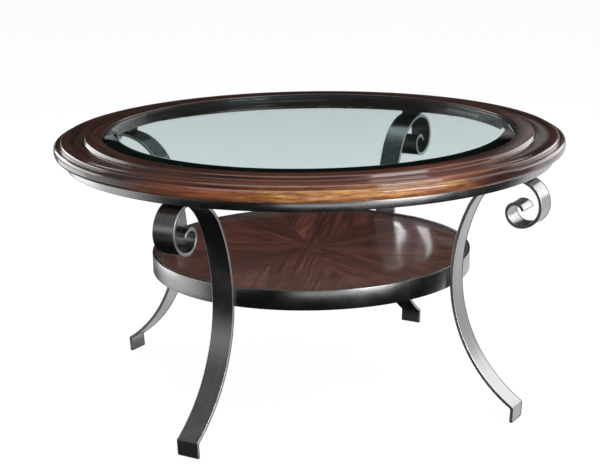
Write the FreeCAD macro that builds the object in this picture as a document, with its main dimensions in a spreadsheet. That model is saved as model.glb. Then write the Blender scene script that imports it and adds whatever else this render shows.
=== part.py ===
import FreeCAD, Part
import math
import os
from types import SimpleNamespace

import Sketcher
from FreeCAD import Placement, Rotation, Vector

# Round scroll-leg table: a moulded wood ring holds a loose bevelled glass, a steel
# hoop under the ring stands on the crests of four scrolled flat-bar legs, and the
# same legs clasp a smaller hoop that carries a veneered round shelf.
# Millimetres, +Z up, origin on the floor under the middle of the table.

# Driving sizes
SIZES = {
    # whole table
    "table_height": 538,
    "rim_radius": 508,
    # wood ring
    "rim_thickness": 34,
    "rim_width": 104,
    "ledge_width": 8.5,
    "rim_lip_radius": 2,
    "tier_width": 34,
    "tier_rise": 7.5,
    "tier_round": 3.5,
    "tier_upright": 1,
    "dish_radius": 130,
    "bead_rise": 1.5,
    "bead_radius": 4.5,
    "groove_width": 1.7,
    "groove_depth": 1.5,
    "groove_run": 4,
    "nose_drop": 4.5,
    "nose_top_radius": 7.5,
    "nose_upright": 5.5,
    # glass
    "glass_thickness": 10,
    "glass_clearance": 1.5,
    "bevel_width": 25,
    "bevel_edge": 5,
    "glass_arris": 0.8,
    "bumper_thickness": 1,
    "bumper_radius": 3,
    # flat bar of the legs and hoops
    "bar_width": 46,
    "bar_thickness": 6.4,
    # hoop under the ring
    "apron_inset": 22.2,
    "apron_height": 19,
    # leg
    "waist_height": 271.3,
    "foot_inset": 33.7,
    "foot_height": 30,
    "foot_bend_radius": 6,
    "foot_fold_radius": 1.5,
    "foot_lean": 1.5,
    "crest_inset": 28.2,
    "shoulder_radius": 51,
    "belly_radius": 44,
    "heel_radius": 29.5,
    "curl_radius": 20,
    "glide_thickness": 2,
    "glide_margin": 0.6,
    # shelf
    "shelf_inset": 184.5,
    "shelf_hoop_height": 38,
    "shelf_hoop_drop": 14.3,
    "shelf_lift": 16,
    "shelf_gap": 1,
    "shelf_thickness": 19,
    "veneer_thickness": 0.8,
    # brackets and tabs
    "bracket_thickness": 4,
    "bracket_width": 34,
    "bracket_step": 12,
    "bracket_reach": 16,
    "bracket_bend": 3,
    "tab_thickness": 3,
    "tab_length": 30,
    "tab_reach": 26,
    "tab_drop": 14,
    # fasteners
    "bolt_radius": 3,
    "bolt_hole_radius": 3.3,
    "bolt_head_radius": 5.25,
    "bolt_head_height": 3.3,
    "bolt_spacing": 20,
    "bolt_lift": 7.3,
    "thread_depth": 5,
    "thread_relief": 0.4,
    "seat_depth": 0.5,
    "nut_radius": 5.8,
    "nut_height": 5,
    "bolt_overhang": 1.5,
    "screw_radius": 2,
    "screw_hole_radius": 2.2,
    "screw_head_radius": 3.9,
    "screw_head_height": 2.4,
    "screw_bite": 15,
    "screw_cover": 3.2,
    "screw_tip": 4,
    "screw_spacing": 20,
    "pilot_relief": 1,
    "cut_overrun": 2,
}

# Driving angles in degrees
ANGLES = {
    "stem_turn": 26.2,
    "curl_turn": 165,
}

# Counts
BUMPER_COUNT = 8
VENEER_COUNT = 8
NUT_SIDES = 6

# Bearings in degrees from +X: the legs stand between the four sides
LEG_BEARINGS = {"back_right": 45, "back_left": 135, "front_left": 225, "front_right": 315}
SIDE_BEARINGS = {"right": 0, "back": 90, "left": 180, "front": 270}
FIRST_LEG = 45

# A pair of fasteners sits half its pitch to each side
PAIR_SHARES = (-0.5, 0.5)

LEFT, RIGHT = 1, -1
FULL_TURN = 360
HALF_TURN = 180


class Size:
    """A number with the expression that gives it from the sheets."""

    def __init__(self, value, text):
        self.value = float(value)
        self.text = text

    def __add__(self, other):
        other = as_size(other)
        return Size(self.value + other.value, f"({self.text} + {other.text})")

    def __sub__(self, other):
        other = as_size(other)
        return Size(self.value - other.value, f"({self.text} - {other.text})")

    def __mul__(self, other):
        other = as_size(other)
        return Size(self.value * other.value, f"{self.text} * {other.text}")

    def __truediv__(self, other):
        other = as_size(other)
        return Size(self.value / other.value, f"{self.text} / {other.text}")

    def __neg__(self):
        return Size(-self.value, f"(-1 * {self.text})")


def as_size(number):
    return number if isinstance(number, Size) else Size(number, repr(number))


WHOLE = as_size(1)


def sine(angle):
    return Size(math.sin(math.radians(angle.value)), f"sin({angle.text})")


def cosine(angle):
    return Size(math.cos(math.radians(angle.value)), f"cos({angle.text})")


def root(number):
    return Size(math.sqrt(number.value), f"sqrt({number.text})")


class SizeSheet:
    """A spreadsheet whose cells are read by alias."""

    def __init__(self, doc, name):
        self.name = name
        self.sheet = doc.addObject("Spreadsheet::Sheet", name)
        self.rows = 0

    def write(self, alias, value, text):
        self.rows += 1
        self.sheet.set(f"A{self.rows}", alias)
        self.sheet.set(f"B{self.rows}", text)
        self.sheet.setAlias(f"B{self.rows}", alias)
        return Size(value, f"{self.name}.{alias}")


def driving_sizes(doc):
    sheet = SizeSheet(doc, "Sizes")
    rows = {**SIZES, **ANGLES}
    return SimpleNamespace(**{alias: sheet.write(alias, value, str(value)) for alias, value in rows.items()})


def worked_sizes(doc, s):
    """Sizes that more than one piece needs, each from the driving ones."""
    sheet = SizeSheet(doc, "Worked")
    w = SimpleNamespace()

    def keep(alias, size):
        setattr(w, alias, sheet.write(alias, size.value, "=" + size.text))

    # ring and glass
    keep("rim_bottom", s.table_height - s.rim_thickness)
    keep("bore_radius", s.rim_radius - s.rim_width)
    keep("rebate_radius", w.bore_radius + s.ledge_width)
    keep("glass_bottom", s.table_height - s.glass_thickness)
    keep("ledge_height", w.glass_bottom - s.bumper_thickness)
    keep("glass_radius", w.rebate_radius - s.glass_clearance)
    # hoop under the ring
    keep("apron_radius", s.rim_radius - s.apron_inset)
    keep("apron_inner", w.apron_radius - s.bar_thickness)
    keep("crest_height", w.rim_bottom - s.apron_height)
    # leg above its waist: two arcs that meet where the stem has turned by stem_turn
    keep("shelf_hoop_radius", s.rim_radius - s.shelf_inset)
    keep("crest_radius_out", w.apron_radius - s.crest_inset)
    keep("crest_reach", w.crest_radius_out - w.shelf_hoop_radius)
    keep("rise", w.crest_height - s.waist_height)
    keep("turn_sine", sine(s.stem_turn))
    keep("turn_cosine", cosine(s.stem_turn))
    keep("turn_share", w.turn_sine + w.turn_cosine - WHOLE)
    stem_part = w.rise * w.turn_cosine - w.crest_reach * (WHOLE - w.turn_sine)
    crest_part = w.crest_reach * w.turn_sine - w.rise * (WHOLE - w.turn_cosine)
    keep("stem_radius", stem_part / w.turn_share)
    keep("crest_radius", crest_part / w.turn_share)
    # leg below its waist: one arc from the waist to the bend of the foot
    keep("sweep_fall", s.waist_height - s.foot_height)
    keep("foot_reach", w.apron_radius - s.foot_inset - w.shelf_hoop_radius)
    keep("sweep_radius", (w.sweep_fall * w.sweep_fall / w.foot_reach + w.foot_reach) / 2)
    keep("sweep_sine", w.sweep_fall / w.sweep_radius)
    keep("sweep_cosine", WHOLE - w.foot_reach / w.sweep_radius)
    bend_run = s.foot_bend_radius * (WHOLE - w.sweep_cosine)
    keep("foot_inner", w.shelf_hoop_radius + w.foot_reach + bend_run)
    keep("foot_outer", w.foot_inner + s.bar_thickness)
    # shelf
    keep("shelf_hoop_inner", w.shelf_hoop_radius - s.bar_thickness)
    keep("shelf_hoop_bottom", s.waist_height - s.shelf_hoop_drop)
    keep("shelf_hoop_top", w.shelf_hoop_bottom + s.shelf_hoop_height)
    keep("shelf_radius", w.shelf_hoop_inner - s.shelf_gap)
    keep("core_bottom", w.shelf_hoop_bottom + s.shelf_lift)
    keep("shelf_top", w.core_bottom + s.shelf_thickness)
    keep("core_top", w.shelf_top - s.veneer_thickness)
    keep("shelf_bolt_height", w.shelf_hoop_bottom + s.bolt_lift)
    keep("shelf_bite", w.core_top - w.core_bottom - s.screw_cover)
    keep("shelf_pilot_depth", w.shelf_bite + s.pilot_relief)
    # brackets and tabs
    keep("bracket_web", w.crest_radius_out - s.bracket_step)
    keep("bracket_end", w.bracket_web - s.bracket_reach)
    keep("bracket_screw_radius", w.bracket_end + (s.bracket_reach - s.bracket_thickness) / 2)
    keep("apron_screw_radius", w.apron_inner - s.tab_reach / 2)
    keep("shelf_screw_radius", w.shelf_hoop_inner - s.tab_reach / 2)
    keep("pilot_depth", s.screw_bite + s.pilot_relief)
    return w


def new_body(doc, label):
    body = doc.addObject("PartDesign::Body", label)
    body.Label = label
    return body


def origin_part(body, role):
    return next(part for part in body.Origin.OriginFeatures if part.Role == role)


def new_sketch(body, role, lift=None, bearing=0):
    """A sketch on an origin plane of its own body, lifted along the plane's normal."""
    sketch = body.newObject("Sketcher::SketchObject", "Sketch")
    sketch.AttachmentSupport = (origin_part(body, role), [""])
    sketch.MapMode = "FlatFace"
    if lift is not None:
        turn = Rotation(Vector(0, 0, 1), bearing)
        sketch.AttachmentOffset = Placement(Vector(0, 0, lift.value), turn)
        sketch.setExpression("AttachmentOffset.Base.z", lift.text)
    return sketch


def bind(sketch, kind, name, geometry, position, size):
    """A sketch dimension that follows its expression; nothing at zero, which is an axis."""
    if size.value == 0:
        axis = -2 if kind == "DistanceX" else -1
        sketch.addConstraint(Sketcher.Constraint("PointOnObject", geometry, position, axis))
        return
    place = (geometry,) if kind == "Radius" else (geometry, position)
    index = sketch.addConstraint(Sketcher.Constraint(kind, *place, size.value))
    sketch.renameConstraint(index, name)
    sketch.setExpression(f"Constraints.{name}", size.text)


def arc_between(start, end, radius, side):
    """The minor arc from start to end that turns to the given side."""
    middle = (start + end) / 2
    half = (end - start) / 2
    rise = math.sqrt(max(radius * radius - half.Length * half.Length, 0))
    across = Vector(-half.y, half.x, 0).normalize() * side * rise
    centre = middle + across
    first, last = (start, end) if side == LEFT else (end, start)
    begin = math.atan2(first.y - centre.y, first.x - centre.x)
    finish = math.atan2(last.y - centre.y, last.x - centre.x)
    return Part.ArcOfCircle(Part.Circle(centre, Vector(0, 0, 1), radius), begin, finish)


def draw_outline(sketch, steps):
    """A closed outline. A step is a corner (x, y), or (x, y, radius, side) reached by an arc."""
    corners = [tuple(as_size(number) for number in step[:2]) for step in steps]
    points = [Vector(x.value, y.value, 0) for x, y in corners]
    ends = []
    for index, start in enumerate(points):
        after = (index + 1) % len(points)
        if len(steps[after]) == 2:
            edge = sketch.addGeometry(Part.LineSegment(start, points[after]), False)
            ends.append((edge, 1, 2))
            continue
        radius, side = steps[after][2:]
        edge = sketch.addGeometry(arc_between(start, points[after], radius.value, side), False)
        bind(sketch, "Radius", f"radius_{index}", edge, 0, radius)
        ends.append((edge, 1, 2) if side == LEFT else (edge, 2, 1))
    for index, (edge, first, _) in enumerate(ends):
        before, _, last = ends[index - 1]
        sketch.addConstraint(Sketcher.Constraint("Coincident", before, last, edge, first))
        bind(sketch, "DistanceX", f"across_{index}", edge, first, corners[index][0])
        bind(sketch, "DistanceY", f"up_{index}", edge, first, corners[index][1])


def draw_holes(sketch, places, radius):
    for index, (x, y) in enumerate(places):
        x, y = as_size(x), as_size(y)
        circle = Part.Circle(Vector(x.value, y.value, 0), Vector(0, 0, 1), radius.value)
        edge = sketch.addGeometry(circle, False)
        bind(sketch, "Radius", f"radius_{index}", edge, 0, radius)
        bind(sketch, "DistanceX", f"across_{index}", edge, 3, x)
        bind(sketch, "DistanceY", f"up_{index}", edge, 3, y)


def revolve(body, steps, width=None, radius=None, angle=FULL_TURN):
    """The outline turned about Z: all the way, or an even sector as wide as given at a radius."""
    sketch = new_sketch(body, "XZ_Plane")
    draw_outline(sketch, steps)
    turned = body.newObject("PartDesign::Revolution", "Revolution")
    turned.Profile = sketch
    turned.ReferenceAxis = (sketch, ["V_Axis"])
    turned.Angle = angle
    if width is not None:
        sector = width / radius * (HALF_TURN / math.pi)
        turned.Midplane = True
        turned.Angle = sector.value
        turned.setExpression("Angle", sector.text)
    body.Tip = turned
    return turned


def pad_across(body, steps, width):
    """The outline in the XZ plane, thickened evenly to both sides."""
    sketch = new_sketch(body, "XZ_Plane")
    draw_outline(sketch, steps)
    pad = body.newObject("PartDesign::Pad", "Pad")
    pad.Profile = sketch
    pad.SideType = "Symmetric"
    pad.Length = width.value
    pad.setExpression("Length", width.text)
    body.Tip = pad
    return pad


def cut_holes(doc, body, role, lift, places, radius, depth, along_normal=False, bearing=0):
    """Round holes from a lifted plane of the body."""
    doc.recompute()
    before = len(body.Shape.Faces)
    sketch = new_sketch(body, role, lift, bearing)
    draw_holes(sketch, places, radius)
    pocket = body.newObject("PartDesign::Pocket", "Pocket")
    pocket.Profile = sketch
    pocket.Reversed = along_normal
    pocket.Length = depth.value
    pocket.setExpression("Length", depth.text)
    body.Tip = pocket
    doc.recompute()
    if len(body.Shape.Faces) <= before:
        raise RuntimeError(f"the holes of {body.Label} cut nothing")
    return pocket


def repeat_holes(doc, body, pockets, copies):
    """Repeats the holes evenly about the table's axis."""
    before = len(body.Shape.Faces)
    pattern = body.newObject("PartDesign::PolarPattern", "PolarPattern")
    pattern.Originals = pockets
    pattern.Axis = (origin_part(body, "Z_Axis"), [""])
    pattern.Angle = FULL_TURN
    pattern.Occurrences = copies
    body.Tip = pattern
    doc.recompute()
    if len(body.Shape.Faces) <= before:
        raise RuntimeError(f"the repeated holes of {body.Label} cut nothing")


def turn_to(body, bearing):
    body.Placement = Placement(Vector(), Rotation(Vector(0, 0, 1), bearing))


def group(doc, label, master, placements):
    """Identical pieces as one sub-part of separate solids."""
    doc.recompute()
    copies = []
    for placement in placements:
        copy = master.Shape.copy()
        copy.Placement = placement.multiply(copy.Placement)
        copies.append(copy)
    piece = doc.addObject("Part::Feature", label)
    piece.Label = label
    piece.Shape = Part.makeCompound(copies)
    piece.Placement = Placement()
    return piece


def polar(bearing, radius, height, across=None, tilt=None):
    """A placement out along a bearing, with an optional tilt of the piece before that."""
    turn = Placement(Vector(), Rotation(Vector(0, 0, 1), bearing))
    place = Vector(radius.value, across.value if across else 0, height.value)
    return turn.multiply(Placement(place, tilt or Rotation()))


def make_top_ring(doc, s, w):
    """Moulded wood ring: full nose, quirk, bead, dished flat, raised tier, glass rebate."""
    flat_z = s.table_height - s.tier_rise
    nose_top = flat_z - s.nose_drop
    nose_x = s.rim_radius - s.nose_top_radius
    nose_low = nose_top - s.nose_top_radius - s.nose_upright - w.rim_bottom
    groove_x = nose_x - s.groove_run
    groove_z = nose_top - s.groove_depth
    bead_x = groove_x - s.groove_width
    bead_z = flat_z + s.bead_rise
    tier_x = w.rebate_radius + s.tier_width
    cove = s.tier_rise - s.tier_round - s.tier_upright
    steps = [
        (w.bore_radius, w.rim_bottom),
        (s.rim_radius - nose_low, w.rim_bottom),
        (s.rim_radius, w.rim_bottom + nose_low, nose_low, LEFT),
        (s.rim_radius, nose_top - s.nose_top_radius),
        (nose_x, nose_top, s.nose_top_radius, LEFT),
        (groove_x, groove_z),
        (bead_x, groove_z),
        (bead_x, bead_z - s.bead_radius),
        (bead_x - s.bead_radius, bead_z, s.bead_radius, LEFT),
        (tier_x + cove, flat_z, s.dish_radius, RIGHT),
        (tier_x, flat_z + cove, cove, RIGHT),
        (tier_x, s.table_height - s.tier_round),
        (tier_x - s.tier_round, s.table_height, s.tier_round, LEFT),
        (w.rebate_radius + s.rim_lip_radius, s.table_height),
        (w.rebate_radius, s.table_height - s.rim_lip_radius, s.rim_lip_radius, LEFT),
        (w.rebate_radius, w.ledge_height),
        (w.bore_radius, w.ledge_height),
    ]
    body = new_body(doc, "top_ring")
    revolve(body, steps)
    bracket_pair = [(w.bracket_screw_radius, s.screw_spacing * share) for share in PAIR_SHARES]
    tab_screw = [(w.apron_screw_radius, 0)]
    pilot = (s.screw_radius, w.pilot_depth, True)
    pockets = [
        cut_holes(doc, body, "XY_Plane", w.rim_bottom, bracket_pair, *pilot, FIRST_LEG),
        cut_holes(doc, body, "XY_Plane", w.rim_bottom, tab_screw, *pilot),
    ]
    repeat_holes(doc, body, pockets, len(LEG_BEARINGS))
    return body


def make_glass(doc, s, w):
    """Loose plate with a wide bevel all round, flush with the tier."""
    step = w.glass_bottom + s.bevel_edge
    drop = (s.glass_thickness - s.bevel_edge) / s.bevel_width
    steps = [
        (0, w.glass_bottom),
        (w.glass_radius - s.glass_arris, w.glass_bottom),
        (w.glass_radius, w.glass_bottom + s.glass_arris),
        (w.glass_radius, step - s.glass_arris),
        (w.glass_radius - s.glass_arris, step + s.glass_arris * drop),
        (w.glass_radius - s.bevel_width, s.table_height),
        (0, s.table_height),
    ]
    body = new_body(doc, "glass_top")
    revolve(body, steps)
    return body


def make_hoop(doc, name, inner, outer, bottom, top):
    body = new_body(doc, name)
    revolve(body, [(inner, bottom), (outer, bottom), (outer, top), (inner, top)])
    return body


def make_shelf_hoop(doc, s, w):
    """Flat-bar hoop with two bolt holes and their seats behind every leg."""
    inner, outer = w.shelf_hoop_inner, w.shelf_hoop_radius
    body = make_hoop(doc, "shelf_band", inner, outer, w.shelf_hoop_bottom, w.shelf_hoop_top)
    places = [(s.bolt_spacing * share, w.shelf_bolt_height) for share in PAIR_SHARES]
    start = w.shelf_hoop_inner - s.cut_overrun
    through = s.bar_thickness + s.cut_overrun * 2
    seat = s.bolt_head_radius + s.thread_relief
    depth = s.cut_overrun + s.seat_depth
    pockets = [
        cut_holes(doc, body, "YZ_Plane", start, places, s.bolt_hole_radius, through, True),
        cut_holes(doc, body, "YZ_Plane", start, places, seat, depth, True),
    ]
    repeat_holes(doc, body, pockets, len(LEG_BEARINGS))
    turn_to(body, FIRST_LEG)
    return body


def leg_outline(s, w):
    """Side view of a leg: up the face that looks at the middle, back down the hollow face."""
    t = s.bar_thickness
    waist_x = w.shelf_hoop_radius
    sweep_x = waist_x + w.sweep_radius
    stem_x = waist_x + w.stem_radius
    bend_z = s.foot_height - s.foot_bend_radius * w.sweep_sine
    # scroll: shoulder, belly, heel and curl are arcs that run into each other
    crest_x = w.crest_radius_out
    shoulder_x = crest_x + s.shoulder_radius
    shoulder_z = w.crest_height - s.shoulder_radius
    belly_x = shoulder_x - s.belly_radius
    belly_z = shoulder_z - s.belly_radius
    heel_x = belly_x - s.heel_radius
    heel_z = belly_z + s.heel_radius
    curl_x = heel_x + s.curl_radius
    curl_in = s.curl_radius - t
    half_x = -cosine(s.curl_turn / 2)
    half_z = sine(s.curl_turn / 2)
    tip_x = -cosine(s.curl_turn)
    tip_z = sine(s.curl_turn)
    # small round where the hollow face folds over the foot
    fold_reach = w.sweep_radius - t + s.foot_fold_radius
    fold_run = sweep_x - w.foot_outer + s.foot_fold_radius
    fold_fall = root(fold_reach * fold_reach - fold_run * fold_run)
    fold_share = (w.sweep_radius - t) / fold_reach
    stem_in = w.stem_radius - t
    turn_x = stem_x - w.stem_radius * w.turn_cosine
    turn_z = s.waist_height + w.stem_radius * w.turn_sine
    turn_in_x = stem_x - stem_in * w.turn_cosine
    turn_in_z = s.waist_height + stem_in * w.turn_sine
    return [
        (w.foot_inner - s.foot_lean, s.glide_thickness),
        (w.foot_inner, bend_z),
        (waist_x + w.foot_reach, s.foot_height, s.foot_bend_radius, LEFT),
        (waist_x, s.waist_height, w.sweep_radius, RIGHT),
        (turn_x, turn_z, w.stem_radius, RIGHT),
        (crest_x, w.crest_height, w.crest_radius, RIGHT),
        (shoulder_x, shoulder_z, s.shoulder_radius, RIGHT),
        (belly_x, belly_z, s.belly_radius, RIGHT),
        (heel_x, heel_z, s.heel_radius, RIGHT),
        (curl_x + s.curl_radius * half_x, heel_z + s.curl_radius * half_z, s.curl_radius, RIGHT),
        (curl_x + s.curl_radius * tip_x, heel_z + s.curl_radius * tip_z, s.curl_radius, RIGHT),
        (curl_x + curl_in * tip_x, heel_z + curl_in * tip_z),
        (curl_x + curl_in * half_x, heel_z + curl_in * half_z, curl_in, LEFT),
        (heel_x + t, heel_z, curl_in, LEFT),
        (belly_x, belly_z + t, s.heel_radius - t, LEFT),
        (shoulder_x - t, shoulder_z, s.belly_radius - t, LEFT),
        (crest_x, w.crest_height - t, s.shoulder_radius - t, LEFT),
        (turn_in_x, turn_in_z, w.crest_radius - t, LEFT),
        (waist_x + t, s.waist_height, stem_in, LEFT),
        (sweep_x - fold_run * fold_share, s.waist_height - fold_fall * fold_share, w.sweep_radius - t, LEFT),
        (w.foot_outer, s.waist_height - fold_fall, s.foot_fold_radius, RIGHT),
        (w.foot_outer - s.foot_lean, s.glide_thickness),
    ]


def make_leg(doc, s, w, name, bearing):
    """Scrolled flat bar with a bolt hole in its crest and two tapped holes at its waist."""
    body = new_body(doc, f"leg_{name}")
    pad_across(body, leg_outline(s, w), s.bar_width)
    crest = [(w.crest_radius_out, 0)]
    over = s.cut_overrun
    top = w.crest_height + over
    under = w.crest_height - s.bar_thickness - over
    cut_holes(doc, body, "XY_Plane", top, crest, s.bolt_hole_radius, s.bar_thickness + over * 2)
    seat = s.bolt_head_radius + s.thread_relief
    cut_holes(doc, body, "XY_Plane", under, crest, seat, over + s.seat_depth, True)
    pair = [(s.bolt_spacing * share, w.shelf_bolt_height) for share in PAIR_SHARES]
    start = w.shelf_hoop_radius - over
    cut_holes(doc, body, "YZ_Plane", start, pair, s.bolt_radius, s.thread_depth + over, True)
    turn_to(body, bearing)
    return body


def make_glide(doc, s, w, name, bearing):
    """Nylon pad under the end of a leg."""
    inner = w.foot_inner - s.foot_lean + s.glide_margin
    outer = w.foot_outer - s.foot_lean - s.glide_margin
    body = new_body(doc, f"foot_glide_{name}")
    steps = [(inner, 0), (outer, 0), (outer, s.glide_thickness), (inner, s.glide_thickness)]
    pad_across(body, steps, s.bar_width - s.glide_margin * 2)
    turn_to(body, bearing)
    return body


def make_rim_bracket(doc, s, w, name, bearing):
    """Stepped bracket: lower flange on the crest and welded to the hoop, upper one under the ring."""
    t = s.bracket_thickness
    low = w.crest_height
    high = w.rim_bottom
    web = w.bracket_web
    bend = s.bracket_bend
    steps = [
        (web - t + bend, low, bend, LEFT),
        (w.apron_inner, low),
        (w.apron_inner, low + t),
        (web, low + t),
        (web, high - bend),
        (web - bend, high, bend, LEFT),
        (w.bracket_end, high),
        (w.bracket_end, high - t),
        (web - t, high - t),
        (web - t, low + bend),
    ]
    body = new_body(doc, f"rim_bracket_{name}")
    revolve(body, steps, s.bracket_width, w.crest_radius_out)
    through = t + s.cut_overrun * 2
    screws = [(w.bracket_screw_radius, s.screw_spacing * share) for share in PAIR_SHARES]
    bolt = [(w.crest_radius_out, 0)]
    cut_holes(doc, body, "XY_Plane", low + t + s.cut_overrun, bolt, s.bolt_hole_radius, through)
    cut_holes(doc, body, "XY_Plane", high + s.cut_overrun, screws, s.screw_hole_radius, through)
    turn_to(body, bearing)
    return body


def make_apron_tab(doc, s, w, name, bearing):
    """Angle welded inside the hoop and screwed up into the ring."""
    t = s.tab_thickness
    high = w.rim_bottom
    inner = w.apron_inner - s.tab_reach
    steps = [
        (inner, high - t),
        (w.apron_inner - t, high - t),
        (w.apron_inner - t, high - s.tab_drop),
        (w.apron_inner, high - s.tab_drop),
        (w.apron_inner, high),
        (inner, high),
    ]
    body = new_body(doc, f"apron_tab_{name}")
    revolve(body, steps, s.tab_length, w.apron_inner)
    start = high + s.cut_overrun
    hole = [(w.apron_screw_radius, 0)]
    cut_holes(doc, body, "XY_Plane", start, hole, s.screw_hole_radius, t + s.cut_overrun * 2)
    turn_to(body, bearing)
    return body


def make_shelf_tab(doc, s, w, name, bearing):
    """Lug welded inside the hoop, screwed up into the shelf panel that rests on it."""
    t = s.tab_thickness
    high = w.core_bottom
    inner = w.shelf_hoop_inner - s.tab_reach
    steps = [(inner, high - t), (w.shelf_hoop_inner, high - t), (w.shelf_hoop_inner, high), (inner, high)]
    body = new_body(doc, f"shelf_tab_{name}")
    revolve(body, steps, s.tab_length, w.shelf_hoop_inner)
    start = high + s.cut_overrun
    hole = [(w.shelf_screw_radius, 0)]
    cut_holes(doc, body, "XY_Plane", start, hole, s.screw_hole_radius, t + s.cut_overrun * 2)
    turn_to(body, bearing)
    return body


def make_shelf_core(doc, s, w):
    body = new_body(doc, "shelf_core")
    edge = w.shelf_radius
    revolve(body, [(0, w.core_bottom), (edge, w.core_bottom), (edge, w.core_top), (0, w.core_top)])
    hole = [(w.shelf_screw_radius, 0)]
    depth = w.shelf_pilot_depth
    pilot = cut_holes(doc, body, "XY_Plane", w.core_bottom, hole, s.screw_radius, depth, True)
    repeat_holes(doc, body, [pilot], len(SIDE_BEARINGS))
    return body


def make_bolt(doc, s, label, length):
    """Round-head bolt along Z, its head below the seat at zero."""
    dome = (s.bolt_head_radius * s.bolt_head_radius / s.bolt_head_height + s.bolt_head_height) / 2
    steps = [
        (0, -s.bolt_head_height),
        (s.bolt_head_radius, 0, dome, LEFT),
        (s.bolt_radius, 0),
        (s.bolt_radius, length - s.thread_relief),
        (s.bolt_radius - s.thread_relief, length),
        (0, length),
    ]
    body = new_body(doc, label)
    revolve(body, steps)
    return body


def make_screw(doc, s, label, length):
    """Wood screw along Z, its head below the seat at zero and its point up."""
    dome = (s.screw_head_radius * s.screw_head_radius / s.screw_head_height + s.screw_head_height) / 2
    steps = [
        (0, -s.screw_head_height),
        (s.screw_head_radius, 0, dome, LEFT),
        (s.screw_radius, 0),
        (s.screw_radius, length - s.screw_tip),
        (0, length),
    ]
    body = new_body(doc, label)
    revolve(body, steps)
    return body


def make_nut(doc, s, label):
    """Hexagon nut on the bolt's thread."""
    body = new_body(doc, label)
    corners = []
    for index in range(NUT_SIDES):
        angle = math.radians(FULL_TURN * index / NUT_SIDES)
        corner_shares = [round(turn(angle), 9) for turn in (math.cos, math.sin)]
        corners.append(tuple(s.nut_radius * share if share else 0 for share in corner_shares))
    sketch = new_sketch(body, "XY_Plane")
    draw_outline(sketch, corners)
    edge = sketch.addGeometry(Part.Circle(Vector(), Vector(0, 0, 1), s.bolt_radius.value), False)
    bind(sketch, "Radius", "bore", edge, 0, s.bolt_radius)
    sketch.addConstraint(Sketcher.Constraint("Coincident", edge, 3, -1, 1))
    pad = body.newObject("PartDesign::Pad", "Pad")
    pad.Profile = sketch
    pad.Length = s.nut_height.value
    pad.setExpression("Length", s.nut_height.text)
    body.Tip = pad
    return body


def make_disc(doc, label, radius, height):
    body = new_body(doc, label)
    revolve(body, [(0, 0), (radius, 0), (radius, height), (0, height)])
    return body


def make_groups(doc, s, w):
    """Identical fasteners and trim, each kind as one sub-part of separate solids."""
    legs = LEG_BEARINGS.values()
    sides = SIDE_BEARINGS.values()
    bar_left = s.bar_thickness - s.seat_depth
    reach = bar_left + s.bracket_thickness + s.nut_height + s.bolt_overhang
    crest_bolt = make_bolt(doc, s, "crest_bolt_pattern", reach)
    shelf_bolt = make_bolt(doc, s, "shelf_bolt_pattern", bar_left + s.thread_depth - s.thread_relief)
    nut = make_nut(doc, s, "nut_pattern")
    bracket_screw = make_screw(doc, s, "bracket_screw_pattern", s.bracket_thickness + s.screw_bite)
    apron_screw = make_screw(doc, s, "apron_screw_pattern", s.tab_thickness + s.screw_bite)
    shelf_screw = make_screw(doc, s, "shelf_screw_pattern", s.tab_thickness + w.shelf_bite)
    bumper = make_disc(doc, "bumper_pattern", s.bumper_radius, s.bumper_thickness)
    wedge = new_body(doc, "veneer_pattern")
    steps = [(0, w.core_top), (w.shelf_radius, w.core_top), (w.shelf_radius, w.shelf_top), (0, w.shelf_top)]
    revolve(wedge, steps, angle=FULL_TURN / VENEER_COUNT)
    crest = w.crest_radius_out
    seat = w.crest_height - bar_left
    hoop_seat = w.shelf_hoop_inner + s.seat_depth
    outward = Rotation(Vector(0, 1, 0), HALF_TURN / 2)
    bolt_pairs = [
        polar(bearing, hoop_seat, w.shelf_bolt_height, s.bolt_spacing * share, outward)
        for bearing in legs for share in PAIR_SHARES
    ]
    bracket_pairs = [
        polar(bearing, w.bracket_screw_radius, w.rim_bottom - s.bracket_thickness, s.screw_spacing * share)
        for bearing in legs for share in PAIR_SHARES
    ]
    tab_top = w.core_bottom - s.tab_thickness
    apron_places = [polar(bearing, w.apron_screw_radius, w.rim_bottom - s.tab_thickness) for bearing in sides]
    bumper_turns = [FULL_TURN * index / BUMPER_COUNT for index in range(BUMPER_COUNT)]
    veneer_turns = [FULL_TURN * index / VENEER_COUNT for index in range(VENEER_COUNT)]
    ledge_middle = w.bore_radius + s.ledge_width / 2
    nothing = as_size(0)
    return [
        group(doc, "crest_bolts", crest_bolt, [polar(b, crest, seat) for b in legs]),
        group(doc, "crest_nuts", nut, [polar(b, crest, w.crest_height + s.bracket_thickness) for b in legs]),
        group(doc, "leg_shelf_bolts", shelf_bolt, bolt_pairs),
        group(doc, "rim_bracket_screws", bracket_screw, bracket_pairs),
        group(doc, "apron_tab_screws", apron_screw, apron_places),
        group(doc, "shelf_tab_screws", shelf_screw, [polar(b, w.shelf_screw_radius, tab_top) for b in sides]),
        group(doc, "glass_bumpers", bumper, [polar(b, ledge_middle, w.ledge_height) for b in bumper_turns]),
        group(doc, "shelf_veneer", wedge, [polar(b, nothing, nothing) for b in veneer_turns]),
    ]


def make_pieces(doc, s, w):
    pieces = [
        make_top_ring(doc, s, w),
        make_glass(doc, s, w),
        make_hoop(doc, "apron_band", w.apron_inner, w.apron_radius, w.crest_height, w.rim_bottom),
        make_shelf_hoop(doc, s, w),
        make_shelf_core(doc, s, w),
    ]
    for make in (make_leg, make_glide, make_rim_bracket):
        pieces += [make(doc, s, w, name, bearing) for name, bearing in LEG_BEARINGS.items()]
    for make in (make_apron_tab, make_shelf_tab):
        pieces += [make(doc, s, w, name, bearing) for name, bearing in SIDE_BEARINGS.items()]
    return pieces + make_groups(doc, s, w)


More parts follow.
